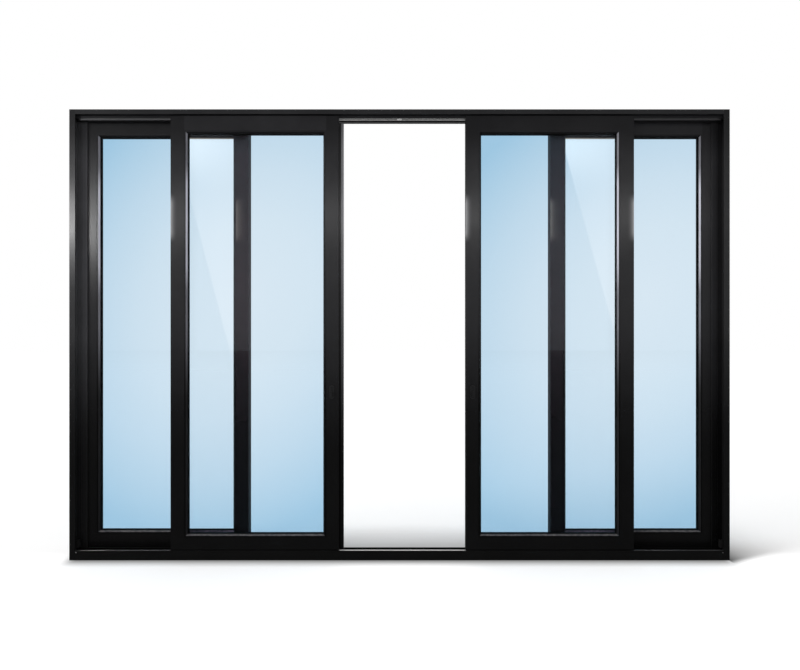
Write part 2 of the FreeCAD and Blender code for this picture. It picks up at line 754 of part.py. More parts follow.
def daylight_ring(inset):
    return rectangle(inset, inset, daylight_width - inset, daylight_height - inset)


def build_beads(label, daylight_left, face_y):
    # A ring drawn on its back face, sloped toward the glass in front and hollow behind.
    body = new_body(label)
    outer = -door.pocket_depth
    inner = -door.bead_reveal
    depth = bead_back - door.bead_setback
    pad = extrude(body, "XZ_Plane", [daylight_ring(outer), daylight_ring(inner)], depth)
    doc.recompute()
    edges = []
    tolerance = door.bead_wall.number / 2
    for number, edge in enumerate(pad.Shape.Edges, 1):
        middle = edge.BoundBox.Center
        on_face = edge.BoundBox.YMax < tolerance - depth.number
        reach_x = abs(middle.x - daylight_width.number / 2) - daylight_width.number / 2
        reach_z = abs(middle.z - daylight_height.number / 2) - daylight_height.number / 2
        if on_face and max(reach_x, reach_z) < door.bead_reveal.number + tolerance:
            edges.append(f"Edge{number}")
    slope = body.newObject("PartDesign::Chamfer", "Slope")
    slope.Base = (pad, edges)
    bind(slope, "Size", door.bead_slope)
    groove = new_sketch(body, "HollowSketch", "XZ_Plane")
    add_loop(groove, daylight_ring(outer + door.bead_wall))
    add_loop(groove, daylight_ring(inner - door.bead_wall))
    hollow = body.newObject("PartDesign::Pocket", "Hollow")
    hollow.Profile = groove
    hollow.Reversed = True
    bind(hollow, "Length", depth - door.bead_slope - door.bead_wall)
    place(body, daylight_left, face_y + bead_back, daylight_bottom)
    keep(label, body)


# Rollers: grooved wheels on an axle in a bracket, two to a sliding panel.

def build_wheel(name, x):
    # Drawn below its axle: a flared groove rides over the round head of the rail.
    body = new_body(name)
    half = door.roller_width / 2
    floor = door.roller_groove / 2
    mouth = floor + door.roller_flange - door.roller_tread
    bore = door.axle_radius + door.axle_gap
    outline = [
        (-half, -bore), (-half, -door.roller_flange), (-mouth, -door.roller_flange),
        (-floor, -door.roller_tread), (floor, -door.roller_tread), (mouth, -door.roller_flange),
        (half, -door.roller_flange), (half, -bore)]
    sketch = new_sketch(body, "Section", "YZ_Plane")
    add_loop(sketch, outline)
    wheel = body.newObject("PartDesign::Revolution", "Wheel")
    wheel.Profile = sketch
    wheel.ReferenceAxis = (sketch, ["H_Axis"])
    wheel.Angle = 360
    place(body, x, track_centre, axle_height)
    return body


axle_height = door.roller_rail_top + door.roller_gap + door.roller_tread
carriage_top = panel_bottom + door.channel_height


def build_carriage(name, x):
    half_length = door.carriage_length / 2
    half_span = door.carriage_width / 2
    low = (x - half_length, track_centre - half_span, carriage_top - door.carriage_drop)
    block = new_box(name + "_block", low, (door.carriage_length, door.carriage_width, door.carriage_drop))
    inner_low = (x - half_length - door.cut_overrun, track_centre - half_span + door.carriage_wall,
                 carriage_top - door.carriage_drop - door.cut_overrun)
    inner_size = (door.carriage_length + door.cut_overrun * 2, door.carriage_width - door.carriage_wall * 2,
                  door.carriage_drop - door.carriage_wall + door.cut_overrun)
    space = new_box(name + "_space", inner_low, inner_size)
    bracket = cut(name + "_bracket", block, space)
    axle = new_cylinder(name + "_axle", (x, track_centre - half_span, axle_height),
                        door.axle_radius, door.carriage_width)
    return fuse(name, [bracket, axle])


def build_rollers(label, daylight_left):
    members = []
    for end, x in (("a", daylight_left + door.roller_inset),
                   ("b", daylight_left + daylight_width - door.roller_inset)):
        members.append(build_carriage(f"{label}_carriage_{end}", x))
        members.append(build_wheel(f"{label}_wheel_{end}", x))
    keep(label, group(label, members))


# Meeting stile fittings

def build_astragal(label, edge_x, face_y, toward):
    # A strip that fills the groove of one meeting stile and reaches into the other's.
    body = new_body(label)
    middle = door.panel_depth / 2
    base = door.meeting_groove_width / 2
    tongue = door.astragal_width / 2
    outline = [
        (door.meeting_groove, middle - base), (door.meeting_groove, middle + base),
        (ZERO, middle + base), (ZERO, middle + tongue), (-door.astragal_reach, middle + tongue),
        (-door.astragal_reach, middle - tongue), (ZERO, middle - tongue), (ZERO, middle - base)]
    chamber = rectangle(door.panel_wall, middle - base + door.panel_wall,
                        door.meeting_groove - door.panel_wall, middle + base - door.panel_wall)
    loops = [mirrored(outline, toward), mirrored(chamber, toward)]
    extrude(body, "XY_Plane", loops, panel_height - door.astragal_end * 2)
    place(body, edge_x, face_y, panel_bottom + door.astragal_end)
    keep(label, body)


def build_lock(side, x):
    # A plate with rounded ends, a key cylinder and the rose of the thumb turn.
    face = slide_face - door.lock_plate_depth
    radius = door.lock_plate_width / 2
    straight = door.lock_plate_height - door.lock_plate_width
    name = f"{side}_lock_plate"
    low = (x - radius, face, door.lock_height - straight / 2)
    members = [
        new_box(name + "_middle", low, (door.lock_plate_width, door.lock_plate_depth, straight)),
        new_cylinder(name + "_upper", (x, face, door.lock_height + straight / 2),
                     radius, door.lock_plate_depth),
        new_cylinder(name + "_lower", (x, face, door.lock_height - straight / 2),
                     radius, door.lock_plate_depth),
        new_cylinder(name + "_key", (x, face - door.key_depth, door.lock_height + door.key_rise),
                     door.key_radius, door.key_depth + door.lock_plate_depth),
        new_cylinder(name + "_rose", (x, face - door.rose_depth, door.lock_height - door.turn_drop),
                     door.rose_radius, door.rose_depth + door.lock_plate_depth)]
    keep(name, fuse(name, members))

    turn = f"{side}_thumb_turn"
    stem_back = face - door.rose_depth - door.turn_gap
    stem_face = stem_back - door.turn_stem_length
    lever_face = stem_face - door.turn_depth
    height = door.lock_height - door.turn_drop
    end = door.turn_width / 2
    reach = door.turn_length / 2 - end
    lever = new_box(turn + "_lever", (x - end, lever_face, height - reach),
                    (door.turn_width, door.turn_depth, reach * 2))
    members = [
        lever,
        new_cylinder(turn + "_stem", (x, stem_face - door.cut_overrun, height),
                     door.turn_stem, door.turn_stem_length + door.cut_overrun),
        new_cylinder(turn + "_high", (x, lever_face, height + reach), end, door.turn_depth),
        new_cylinder(turn + "_low", (x, lever_face, height - reach), end, door.turn_depth)]
    keep(turn, fuse(turn, members))


def build_panel(prefix, daylight_left, face_y, left_stile, right_stile, slides):
    daylight_right = daylight_left + daylight_width
    slide_copes = hook_copes(door.panel_depth, door.panel_depth + panel_gap + door.cut_overrun)
    fixed_copes = hook_copes(-panel_gap - door.cut_overrun, ZERO)
    kinds = {
        "jamb": (door.stile_width, jamb_stile_loops, []),
        "meeting": (door.meeting_width, meeting_stile_loops, track_notches()),
        "interlock": (door.stile_width,
                      slide_interlock_loops if slides else fixed_interlock_loops,
                      track_notches() + slide_copes if slides else fixed_copes)}
    for kind, toward in ((left_stile, 1), (right_stile, -1)):
        width, loops, cuts = kinds[kind]
        edge = daylight_left - width if toward > 0 else daylight_right + width
        build_stile(f"{prefix}_{kind}_stile", edge, face_y, toward, loops(), cuts)
    build_top_rail(f"{prefix}_top_rail", daylight_left, face_y)
    build_bottom_rail(f"{prefix}_bottom_rail", daylight_left, face_y)
    glass = build_glass(f"{prefix}_glass", daylight_left, face_y)
    build_gasket(f"{prefix}_gasket", daylight_left, face_y, glass)
    build_beads(f"{prefix}_beads", daylight_left, face_y)
    if slides:
        build_rollers(f"{prefix}_rollers", daylight_left)


build_sill()
build_head()
build_jamb("left", 1)
build_jamb("right", -1)
build_roller_rail()
build_head_guide()
cover_height = door.sill_rear_fin - door.cover_drop - door.platform_height
head_cover_height = door.head_rear_fin - door.cover_drop - door.frame_wall
build_track_cover("sill_cover", door.sill_rear_fin - door.cover_drop, cover_height, False)
head_cover_face = door.overall_height - door.head_rear_fin + door.cover_drop
build_track_cover("head_cover", head_cover_face, head_cover_height, True)
build_jamb_covers()
build_open_stops()

left_meeting_edge = -(door.meeting_gap / 2 + door.left_rest_open)
right_meeting_edge = door.meeting_gap / 2 + door.right_rest_open
build_panel("left_fixed", door.stile_width - seat_x, fixed_face, "jamb", "interlock", False)
build_panel("right_fixed", seat_x - door.stile_width - daylight_width, fixed_face,
            "interlock", "jamb", False)
build_panel("left_slide", left_meeting_edge - door.meeting_width - daylight_width, slide_face,
            "interlock", "meeting", True)
build_panel("right_slide", right_meeting_edge + door.meeting_width, slide_face, "meeting", "interlock", True)
build_astragal("left_slide_astragal", left_meeting_edge, slide_face, -1)
build_lock("left", left_meeting_edge - door.lock_inset)
build_lock("right", right_meeting_edge + door.lock_inset)

doc.recompute()

for thing in doc.Objects:
    if "Invalid" in thing.State or "Error" in thing.State:
        raise RuntimeError(f"{thing.Label} failed: {thing.State}")
for label, thing in parts.items():
    if thing.Shape.isNull() or not thing.Shape.isValid():
        raise RuntimeError(f"{label} has no valid shape")

os.makedirs("parts", exist_ok=True)
for label, thing in parts.items():
    thing.Shape.exportStep(f"parts/{label}.step")
print(len(parts), "pieces written")
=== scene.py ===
import json
import math
import random

import bpy
from mathutils import Matrix, Vector


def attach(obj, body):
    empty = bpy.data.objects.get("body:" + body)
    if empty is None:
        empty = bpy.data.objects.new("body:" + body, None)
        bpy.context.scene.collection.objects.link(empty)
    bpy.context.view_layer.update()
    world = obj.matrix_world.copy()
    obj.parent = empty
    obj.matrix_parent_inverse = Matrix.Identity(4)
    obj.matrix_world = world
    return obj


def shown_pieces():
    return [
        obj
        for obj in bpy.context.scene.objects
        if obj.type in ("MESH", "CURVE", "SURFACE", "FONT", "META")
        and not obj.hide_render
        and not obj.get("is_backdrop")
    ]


# Sliding glass patio door: finishes, screws, key ways, pile seals, joint clip and the studio.
# Metres, +X to the right seen from inside, +Y to the outside, +Z up.

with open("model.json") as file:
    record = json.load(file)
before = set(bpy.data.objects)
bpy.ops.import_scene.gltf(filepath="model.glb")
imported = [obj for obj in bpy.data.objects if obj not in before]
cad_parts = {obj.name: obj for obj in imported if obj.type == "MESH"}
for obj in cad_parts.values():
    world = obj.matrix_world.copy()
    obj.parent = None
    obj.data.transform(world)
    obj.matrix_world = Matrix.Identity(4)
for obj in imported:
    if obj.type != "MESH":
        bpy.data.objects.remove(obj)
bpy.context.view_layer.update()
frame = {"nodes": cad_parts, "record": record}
cadNodes = frame["nodes"]
print("frame loaded:", len(cadNodes), "nodes")


# Node helpers, in which a source is either a socket to link or a value to set

def colour(red, green, blue):
    return (red, green, blue, 1.0)


def feed(node, sources):
    for key, source in sources.items():
        if isinstance(source, bpy.types.NodeSocket):
            node.id_data.links.new(source, node.inputs[key])
        else:
            node.inputs[key].default_value = source
    return node


def addNode(tree, kind, sources=None, **settings):
    node = tree.nodes.new("ShaderNode" + kind)
    for name, value in settings.items():
        setattr(node, name, value)
    return feed(node, sources or {})


def calculate(tree, operation, *sources):
    return addNode(tree, "Math", dict(enumerate(sources)), operation=operation).outputs[0]


def multiply(tree, result, *factors):
    for factor in factors:
        result = calculate(tree, "MULTIPLY", result, factor)
    return result


def mapRange(tree, value, start, end, low=0.0, high=1.0, ease="LINEAR"):
    # Runs from low at start to high at end, and stays level beyond them.
    return addNode(tree, "MapRange", {
        "Value": value, "From Min": start, "From Max": end, "To Min": low, "To Max": high},
        interpolation_type=ease).outputs["Result"]


def mix(tree, factor, first, second, kind="FLOAT"):
    return addNode(tree, "Mix", {"Factor": factor, "A": first, "B": second},
                   data_type=kind).outputs["Result"]


def scale(tree, vector, factor):
    return addNode(tree, "VectorMath", {0: vector, "Scale": factor}, operation="SCALE").outputs[0]


def addNoise(tree, vector, size, detail, roughness):
    return addNode(tree, "TexNoise", {
        "Vector": vector, "Scale": size, "Detail": detail, "Roughness": roughness}).outputs["Fac"]


def addBump(tree, height, depth):
    return addNode(tree, "Bump", {"Height": height, "Distance": depth}).outputs["Normal"]


def objectPlace(tree):
    return addNode(tree, "TexCoord").outputs["Object"]


def split(tree, vector):
    return addNode(tree, "SeparateXYZ", {"Vector": vector}).outputs


def splitNormal(tree):
    return split(tree, addNode(tree, "NewGeometry").outputs["Normal"])


def addBand(tree, rise, fall):
    # 1 between two heights, easing to 0 outside them.
    height = split(tree, objectPlace(tree))["Z"]
    return multiply(tree, mapRange(tree, height, *rise, ease="SMOOTHSTEP"),
                    mapRange(tree, height, *fall, 1.0, 0.0, ease="SMOOTHSTEP"))


def newMaterial(name):
    material = bpy.data.materials.new(name)
    material.use_nodes = True
    tree = material.node_tree
    tree.nodes.clear()
    shader = addNode(tree, "BsdfPrincipled")
    addNode(tree, "OutputMaterial", {"Surface": shader.outputs["BSDF"]})
    return material, tree, shader


def reopen(material):
    # Its tree, its shader and what colours the shader.
    tree = material.node_tree
    shader = tree.nodes["Principled BSDF"]
    return tree, shader, shader.inputs["Base Color"].links[0].from_socket


def chooseShader(tree, choice, first, second):
    # The first shader where the choice is 0, the second where it is 1.
    mixed = addNode(tree, "MixShader", {"Fac": choice, 1: first.outputs[0], 2: second.outputs[0]})
    feed(tree.nodes["Material Output"], {"Surface": mixed.outputs["Shader"]})


def newGroup(name, values):
    # Its inputs are the named values, and it gives a colour, a roughness and a normal.
    group = bpy.data.node_groups.new(name, "ShaderNodeTree")
    for key, value in values.items():
        kind = "NodeSocketFloat" if isinstance(value, float) else "NodeSocketColor"
        group.interface.new_socket(key, in_out="INPUT", socket_type=kind).default_value = value
    for key, kind in (("Colour", "Color"), ("Roughness", "Float"), ("Normal", "Vector")):
        group.interface.new_socket(key, in_out="OUTPUT", socket_type="NodeSocket" + kind)
    return group, group.nodes.new("NodeGroupInput").outputs, group.nodes.new("NodeGroupOutput")


def placeGroup(tree, group, values):
    node = addNode(tree, "Group", node_tree=group)
    return feed(node, {socket.name: values[socket.name] for socket in node.inputs}).outputs


# Values of the finishes; a range is a pair, and heights and places are in metres

# Painted shade of every black coat: its colour runs from lower to upper between the heights
# deepBelow and paleAbove, and headShade darkens it under the head.
coatValues = {
    "upper": colour(0.0178, 0.0176, 0.0195), "lower": colour(0.0042, 0.0042, 0.0044),
    "deepBelow": 0.55, "paleAbove": 1.45, "headShade": 0.4, "dustColour": colour(0.2, 0.19, 0.18),
    "dust": 0.03, "roughness": 0.22, "sideRoughness": 0.7, "peelSize": 0.0016,
    "peelDepth": 0.000010}
coatPattern = {
    "peelDetail": (2.0, 0.55), "mottle": (4.0, 5.0, 0.6), "specks": (60.0, 6.0, 0.7),
    "mottleRange": (0.3, 0.7), "glossRange": (0.9, 1.15), "toneRange": (0.85, 1.15),
    "speckRange": (0.4, 0.65), "upwardRange": (0.6, 1.0), "headShadeRise": (2.17, 2.34)}
white = colour(1, 1, 1)
paintValues = {
    **coatValues, "specular": 0.25, "untinted": white, "behindPanes": colour(1.6, 0.8, 0.85)}
# Lit and shaded copies of the one black paint: the frame, each jamb, the covers and some top rails
# each get their own painted light and shade.
frameValues = {
    **paintValues, "upper": colour(0.019, 0.019, 0.0205), "lower": colour(0.0045, 0.0045, 0.0045),
    "headShade": 0.0}
# Painted light on the jambs: the left one is painted lighter than the right, as if lit from the
# left, and everything behind the front face of its lip 3.4 times lighter still.
leftJambValues = {
    **paintValues, "upper": colour(0.027, 0.027, 0.029), "headShade": 0.45, "axis": "Y",
    "change": (-0.0585, -0.0575), "gain": 3.4}
rightJambValues = {**paintValues, "upper": colour(0.018, 0.018, 0.019), "headShade": 0.3}
# The jamb covers are painted 3.2 times lighter on the left side than on the right, a painted light.
coverValues = {
    **paintValues, "upper": colour(0.026, 0.026, 0.028), "axis": "X", "change": (0.5, -0.5),
    "gain": 3.2}
# Top rails with almost none of the painted shade under the head.
topValues = {**paintValues, "headShade": 0.05}
# Astragal: its edge strip toward the right panel is painted pale, a painted highlight, and the rest
# 0.12 times as light.
astragalValues = {
    **paintValues, "upper": colour(0.2, 0.2, 0.21), "deepBelow": 0.5, "paleAbove": 2.2,
    "axis": "X", "change": (-0.3165, -0.3185), "gain": 0.12}
lockValues = {
    **paintValues, "upper": colour(0.010, 0.010, 0.011), "lower": colour(0.006, 0.006, 0.007),
    "deepBelow": 0.8, "paleAbove": 1.0, "headShade": 0.0, "specular": 0.4, "roughness": 0.3,
    "sideRoughness": 0.45, "dust": 0.02, "peelSize": 0.0006, "peelDepth": 0.000006}
# Bead paint: painted highlights on the sloped edges (litEdge, lowEdge), painted shade on the others
# (dimEdge, topEdge) and a painted glint between two heights.
beadValues = {
    **paintValues, "upper": colour(0.0125, 0.0125, 0.0142), "lower": colour(0.0008, 0.0008, 0.0009),
    "deepBelow": 0.85, "paleAbove": 1.4, "headShade": 0.0, "litEdge": 15.0, "dimEdge": -0.5,
    "lowEdge": 66.0, "topEdge": -0.4, "slopeSpread": 0.15, "glint": 2.2,
    "glintBand": ((1.42, 1.64), (2.02, 2.16))}
# Painted glare along stile edges between two heights; seen through a pane it is painted warmer.
glareValues = {
    **paintValues, "glareReach": 0.055, "glareFall": 4.5, "glareColour": colour(0.35, 0.35, 0.36),
    "glareBand": ((1.715, 1.78), (1.925, 1.99)), "glareFacing": (-0.3, -0.9)}
innerGlareValues = {**glareValues, "glareReach": 0.11, "glareColour": colour(0.22, 0.16, 0.13)}
glareStiles = {
    "left_slide_interlock_stile": (glareValues, -1.2415, 1),
    "left_fixed_interlock_stile": (innerGlareValues, -0.912, 1),
    "right_slide_meeting_stile": (glareValues, 0.3595, 1),
    "right_fixed_interlock_stile": (innerGlareValues, 0.8295, 1),
    "right_slide_interlock_stile": (glareValues, 1.2715, -1)}
brushValues = {"colour": colour(0.62, 0.62, 0.63), "roughness": 0.28, "streakDepth": 0.000006}
brushPattern = {
    "stretch": (6.0, 900.0, 900.0), "streaks": (1.0, 3.0, 0.6), "streakRange": (0.3, 0.7),
    "glossRange": (0.75, 1.3), "toneRange": (0.88, 1.05)}
stainlessValues = {**brushValues, "metallic": 1.0}
blackSteelValues = {
    **stainlessValues, "colour": colour(0.035, 0.035, 0.037), "roughness": 0.34,
    "streakDepth": 0.000004}
# Guide and roller rail: painted bright in the middle of the door and painted dull toward the ends,
# a painted reflection.
guideValues = {
    **stainlessValues, "colour": colour(0.27, 0.27, 0.27), "roughness": 0.42,
    "streakDepth": 0.000008, "dullColour": colour(0.075, 0.075, 0.078), "shadedReach": (0.36, 0.5)}
railValues = {
    **stainlessValues, "colour": colour(0.9, 0.9, 0.9), "roughness": 0.14, "metallic": 0.45,
    "dullColour": colour(0.105, 0.105, 0.107), "shadedReach": (0.5, 1.2)}
cornerValues = {**blackSteelValues, "colour": colour(0.25, 0.25, 0.25), "roughness": 0.35}
clipValues = {**blackSteelValues, "colour": colour(0.9, 0.9, 0.9), "roughness": 0.3}
rubberValues = {"grainDetail": (2.0, 0.5), "glossSpread": 0.08}
pileValues = {
    **rubberValues, "colour": colour(0.012, 0.012, 0.013), "worn": colour(0.03, 0.03, 0.032),
    "specular": 0.1, "roughness": 0.85, "grainSize": 0.0006, "grainDepth": 0.00002}
gasketValues = {
    **rubberValues, "colour": colour(0.002, 0.002, 0.002), "worn": colour(0.005, 0.005, 0.005),
    "specular": 0.12, "roughness": 0.62, "grainSize": 0.0008, "grainDepth": 0.00001}
bumperValues = {
    **rubberValues, "colour": colour(0.006, 0.006, 0.006), "worn": colour(0.012, 0.012, 0.012),
    "specular": 0.2, "roughness": 0.7, "grainSize": 0.002, "grainDepth": 0.00004}
# Glass: a painted sheen in its tint, and a painted glowing sheen where one pane is seen through
# another.
glassValues = {
    "bending": 1.25, "shadowTint": colour(0.74, 0.84, 0.9), "secondTint": colour(0.98, 0.99, 0.995),
    "secondDepth": 1.5, "throughReach": 1000.0, "sheenColour": (0.92, 0.62, 0.46),
    "sheenEdge": 0.01, "sheenStrength": 0.055, "sheenRise": (1.04, 1.2), "glowStrength": 0.26,
    "glowRise": (1.95, 2.4), "glowReach": 0.4,
    "tints": [(0.0, colour(0.685, 0.805, 0.900)), (0.3, colour(0.655, 0.787, 0.888)),
              (0.5, colour(0.602, 0.750, 0.866)), (0.7, colour(0.520, 0.694, 0.833)),
              (0.85, colour(0.440, 0.640, 0.800)), (1.0, colour(0.350, 0.577, 0.764))]}
glassSides = {
    "left": {"palestX": -0.83, "palestZ": 1.435, "lean": 55.0, "longReach": 1.45,
             "shortReach": 1.15, "sheenX": -1.167, "sheenZ": 1.995, "sheenSlope": 3.88},
    "right": {"palestX": 1.39, "palestZ": 1.431, "lean": 38.4, "longReach": 1.536,
              "shortReach": 1.18, "sheenX": 0.956, "sheenZ": 2.107, "sheenSlope": 3.67}}


# Node groups that several finishes share

def makePaintGroup():
    # Powder coat: fine orange peel, a slow mottle in colour and gloss, sides that are more matt
    # than faces, dust on top faces, and painted shade: darker toward the sill, as light falls off
    # downward, and darker under the head.
    group, entry, leave = newGroup("powderCoat", coatValues)
    pattern = coatPattern
    place = objectPlace(group)
    perMetre = calculate(group, "DIVIDE", 1.0, entry["peelSize"])
    peel = addNoise(group, place, perMetre, *pattern["peelDetail"])
    mottle = addNoise(group, place, *pattern["mottle"])
    gloss = mapRange(group, mottle, *pattern["mottleRange"], *pattern["glossRange"])
    tone = mapRange(group, mottle, *pattern["mottleRange"], *pattern["toneRange"])
    normal = splitNormal(group)
    facing = calculate(group, "ABSOLUTE", normal["Y"])
    rough = mix(group, facing, entry["sideRoughness"], multiply(group, entry["roughness"], gloss))
    upward = mapRange(group, normal["Z"], *pattern["upwardRange"])
    specks = addNoise(group, place, *pattern["specks"])
    dust = multiply(
        group, upward, mapRange(group, specks, *pattern["speckRange"]), entry["dust"])
    height = split(group, place)["Z"]
    rise = mapRange(group, height, entry["deepBelow"], entry["paleAbove"], ease="SMOOTHSTEP")
    fading = mix(group, rise, entry["lower"], entry["upper"], "RGBA")
    under = mapRange(group, height, *pattern["headShadeRise"], ease="SMOOTHSTEP")
    clear = calculate(group, "SUBTRACT", 1.0, multiply(group, under, entry["headShade"]))
    shaded = scale(group, fading, multiply(group, tone, clear))
    feed(leave, {
        "Colour": mix(group, dust, shaded, entry["dustColour"], "RGBA"), "Roughness": rough,
        "Normal": addBump(group, peel, entry["peelDepth"])})
    return group


def makeBrushGroup():
    # Rolled or brushed metal: fine streaks that run along X.
    group, entry, leave = newGroup("brushedAlongX", brushValues)
    pattern = brushPattern
    stretch = addNode(group, "Mapping", {"Vector": objectPlace(group), "Scale": pattern["stretch"]})
    streaks = addNoise(group, stretch.outputs["Vector"], *pattern["streaks"])
    gloss = mapRange(group, streaks, *pattern["streakRange"], *pattern["glossRange"])
    tone = mapRange(group, streaks, *pattern["streakRange"], *pattern["toneRange"])
    feed(leave, {
        "Colour": scale(group, entry["colour"], tone),
        "Roughness": multiply(group, entry["roughness"], gloss),
        "Normal": addBump(group, streaks, entry["streakDepth"])})
    return group


paintGroup = makePaintGroup()
brushGroup = makeBrushGroup()


# Materials

def makePaint(name, values):
    material, tree, shader = newMaterial(name)
    coat = placeGroup(tree, paintGroup, values)
    # The photo's panes don't tint the black behind them, so there it is warmer by as much.
    path = addNode(tree, "LightPath").outputs
    warmth = mix(
        tree, path["Is Transmission Ray"], values["untinted"], values["behindPanes"], "RGBA")
    warmed = addNode(tree, "VectorMath", {0: coat["Colour"], 1: warmth}, operation="MULTIPLY")
    feed(shader, {
        "Base Color": warmed.outputs[0], "Roughness": coat["Roughness"], "Normal": coat["Normal"],
        "Specular IOR Level": values["specular"]})
    return material


def scalePaint(material, factor):
    # The paint's colour times a factor worked out beside it.
    tree, shader, painted = reopen(material)
    feed(shader, {"Base Color": scale(tree, painted, factor)})


def makeBeadPaint(name, values, toward):
    # The same paint with painted light on the sloped edges round the glass: those that face the
    # middle of the door and those facing up are painted lighter, those facing away and down a
    # little darker, and more so in a band of heights, a painted glint.
    material = makePaint(name, values)
    tree = material.node_tree
    normal = splitNormal(tree)
    slope = math.sqrt(0.5)
    total = None
    for axis, sign, edge in (("X", toward, "litEdge"), ("X", -toward, "dimEdge"),
                             ("Z", 1, "lowEdge"), ("Z", -1, "topEdge")):
        gain = mapRange(tree, normal[axis], 0.0, sign * slope, 0.0, values[edge])
        total = gain if total is None else calculate(tree, "ADD", total, gain)
    sloped = calculate(tree, "COMPARE", normal["Y"], -slope, values["slopeSpread"])
    band = addBand(tree, *values["glintBand"])
    glint = calculate(tree, "MULTIPLY_ADD", band, values["glint"], 1.0)
    lit = multiply(tree, total, glint)
    scalePaint(material, calculate(tree, "MULTIPLY_ADD", lit, sloped, 1.0))
    return material


def makeGlarePaint(name, values, edge, inward):
    # Paint with a painted glare: a highlight along one edge of a stile, between two heights, on
    # faces toward the room.
    material = makePaint(name, values)
    tree, shader, painted = reopen(material)
    across = split(tree, objectPlace(tree))["X"]
    near = mapRange(tree, across, edge, edge + inward * values["glareReach"], 1.0, 0.0)
    fall = calculate(tree, "POWER", near, values["glareFall"])
    toRoom = mapRange(tree, splitNormal(tree)["Y"], *values["glareFacing"])
    shown = multiply(tree, fall, addBand(tree, *values["glareBand"]), toRoom)
    feed(shader, {"Base Color": mix(tree, shown, painted, values["glareColour"], "RGBA")})
    return material


def makeSteppedPaint(name, values):
    # Paint whose tone changes by a gain at a place along one axis, so that one part of the piece
    # carries a painted light.
    material = makePaint(name, values)
    tree = material.node_tree
    along = split(tree, objectPlace(tree))[values["axis"]]
    scalePaint(material, mapRange(tree, along, *values["change"], 1.0, values["gain"]))
    return material


def makeBrushed(name, values):
    material, tree, shader = newMaterial(name)
    brushed = placeGroup(tree, brushGroup, values)
    feed(shader, {
        "Base Color": brushed["Colour"], "Roughness": brushed["Roughness"],
        "Normal": brushed["Normal"], "Metallic": values["metallic"]})
    return material


def makePaintedReflectionMetal(name, values):
    # Metal with a painted reflection: bright in the middle of the door, where it faces the open
    # doorway, and painted dull toward its ends, in front of the panels.
    material = makeBrushed(name, values)
    tree, shader, brushed = reopen(material)
    away = calculate(tree, "ABSOLUTE", split(tree, objectPlace(tree))["X"])
    dull = mapRange(tree, away, *values["shadedReach"], ease="SMOOTHSTEP")
    feed(shader, {"Base Color": mix(tree, dull, brushed, values["dullColour"], "RGBA")})
    return material


def makeRubber(name, values):
    # Matt rubber with a fine grain.
    material, tree, shader = newMaterial(name)
    grain = addNoise(tree, objectPlace(tree), 1.0 / values["grainSize"], *values["grainDetail"])
    roughness, spread = values["roughness"], values["glossSpread"]
    feed(shader, {
        "Base Color": mix(tree, grain, values["colour"], values["worn"], "RGBA"),
        "Roughness": mapRange(tree, grain, 0.0, 1.0, roughness - spread, roughness + spread),
        "Normal": addBump(tree, grain, values["grainDepth"]),
        "Specular IOR Level": values["specular"]})
    return material


def addSheen(tree, values, place):
    # A painted sheen that glows as emission, standing in for light between two panes: a faint field
    # above a slanting edge, brighter at the top.
    axes = split(tree, place)
    across = calculate(tree, "SUBTRACT", axes["X"], values["sheenX"])
    slant = calculate(tree, "MULTIPLY_ADD", across, values["sheenSlope"], axes["Z"])
    edge, spread = values["sheenZ"], values["sheenEdge"]
    field = mapRange(tree, slant, edge - spread, edge + spread)
    faint = mapRange(
        tree, axes["Z"], *values["sheenRise"], 0.0, values["sheenStrength"], "SMOOTHSTEP")
    top = mapRange(tree, axes["Z"], *values["glowRise"], ease="SMOOTHERSTEP")
    beside = mapRange(tree, across, 0.0, values["glowReach"], values["glowStrength"], 0.0)
    return multiply(tree, calculate(tree, "MULTIPLY_ADD", top, beside, faint), field)


def makeGlass(name, values):
    # Blue glass with painted light: its tint is palest in an oval round one place of each pair of
    # panes and deeper away from it, and a painted sheen glows on a pane seen through another.
    # Light falls through it, and a pane seen through another one adds no second tint.
    material, tree, shader = newMaterial(name)
    place = objectPlace(tree)
    oval = addNode(tree, "Mapping", {
        "Vector": place, "Location": (values["palestX"], 0.0, values["palestZ"]),
        "Rotation": (0.0, -math.radians(values["lean"]), 0.0),
        "Scale": (values["longReach"], values["throughReach"], values["shortReach"])},
        vector_type="TEXTURE")
    distance = addNode(tree, "VectorMath", {0: oval.outputs["Vector"]}, operation="LENGTH")
    ramp = addNode(tree, "ValToRGB", {"Fac": distance.outputs["Value"]})
    stops = ramp.color_ramp.elements
    while len(stops) < len(values["tints"]):
        stops.new(0.5)
    for stop, (position, tint) in zip(stops, values["tints"]):
        stop.position = position
        stop.color = tint
    path = addNode(tree, "LightPath").outputs
    behind = calculate(tree, "GREATER_THAN", path["Transmission Depth"], values["secondDepth"])
    paintedSheen = multiply(tree, addSheen(tree, values, place), behind)
    feed(shader, {
        "Base Color": mix(tree, behind, ramp.outputs["Color"], values["secondTint"], "RGBA"),
        "Roughness": 0.0, "IOR": values["bending"], "Transmission Weight": 1.0,
        "Emission Color": scale(tree, values["sheenColour"], paintedSheen), "Emission Strength": 1.0})
    clear = addNode(tree, "BsdfTransparent", {"Color": values["shadowTint"]})
    chooseShader(tree, path["Is Shadow Ray"], shader, clear)
    return material


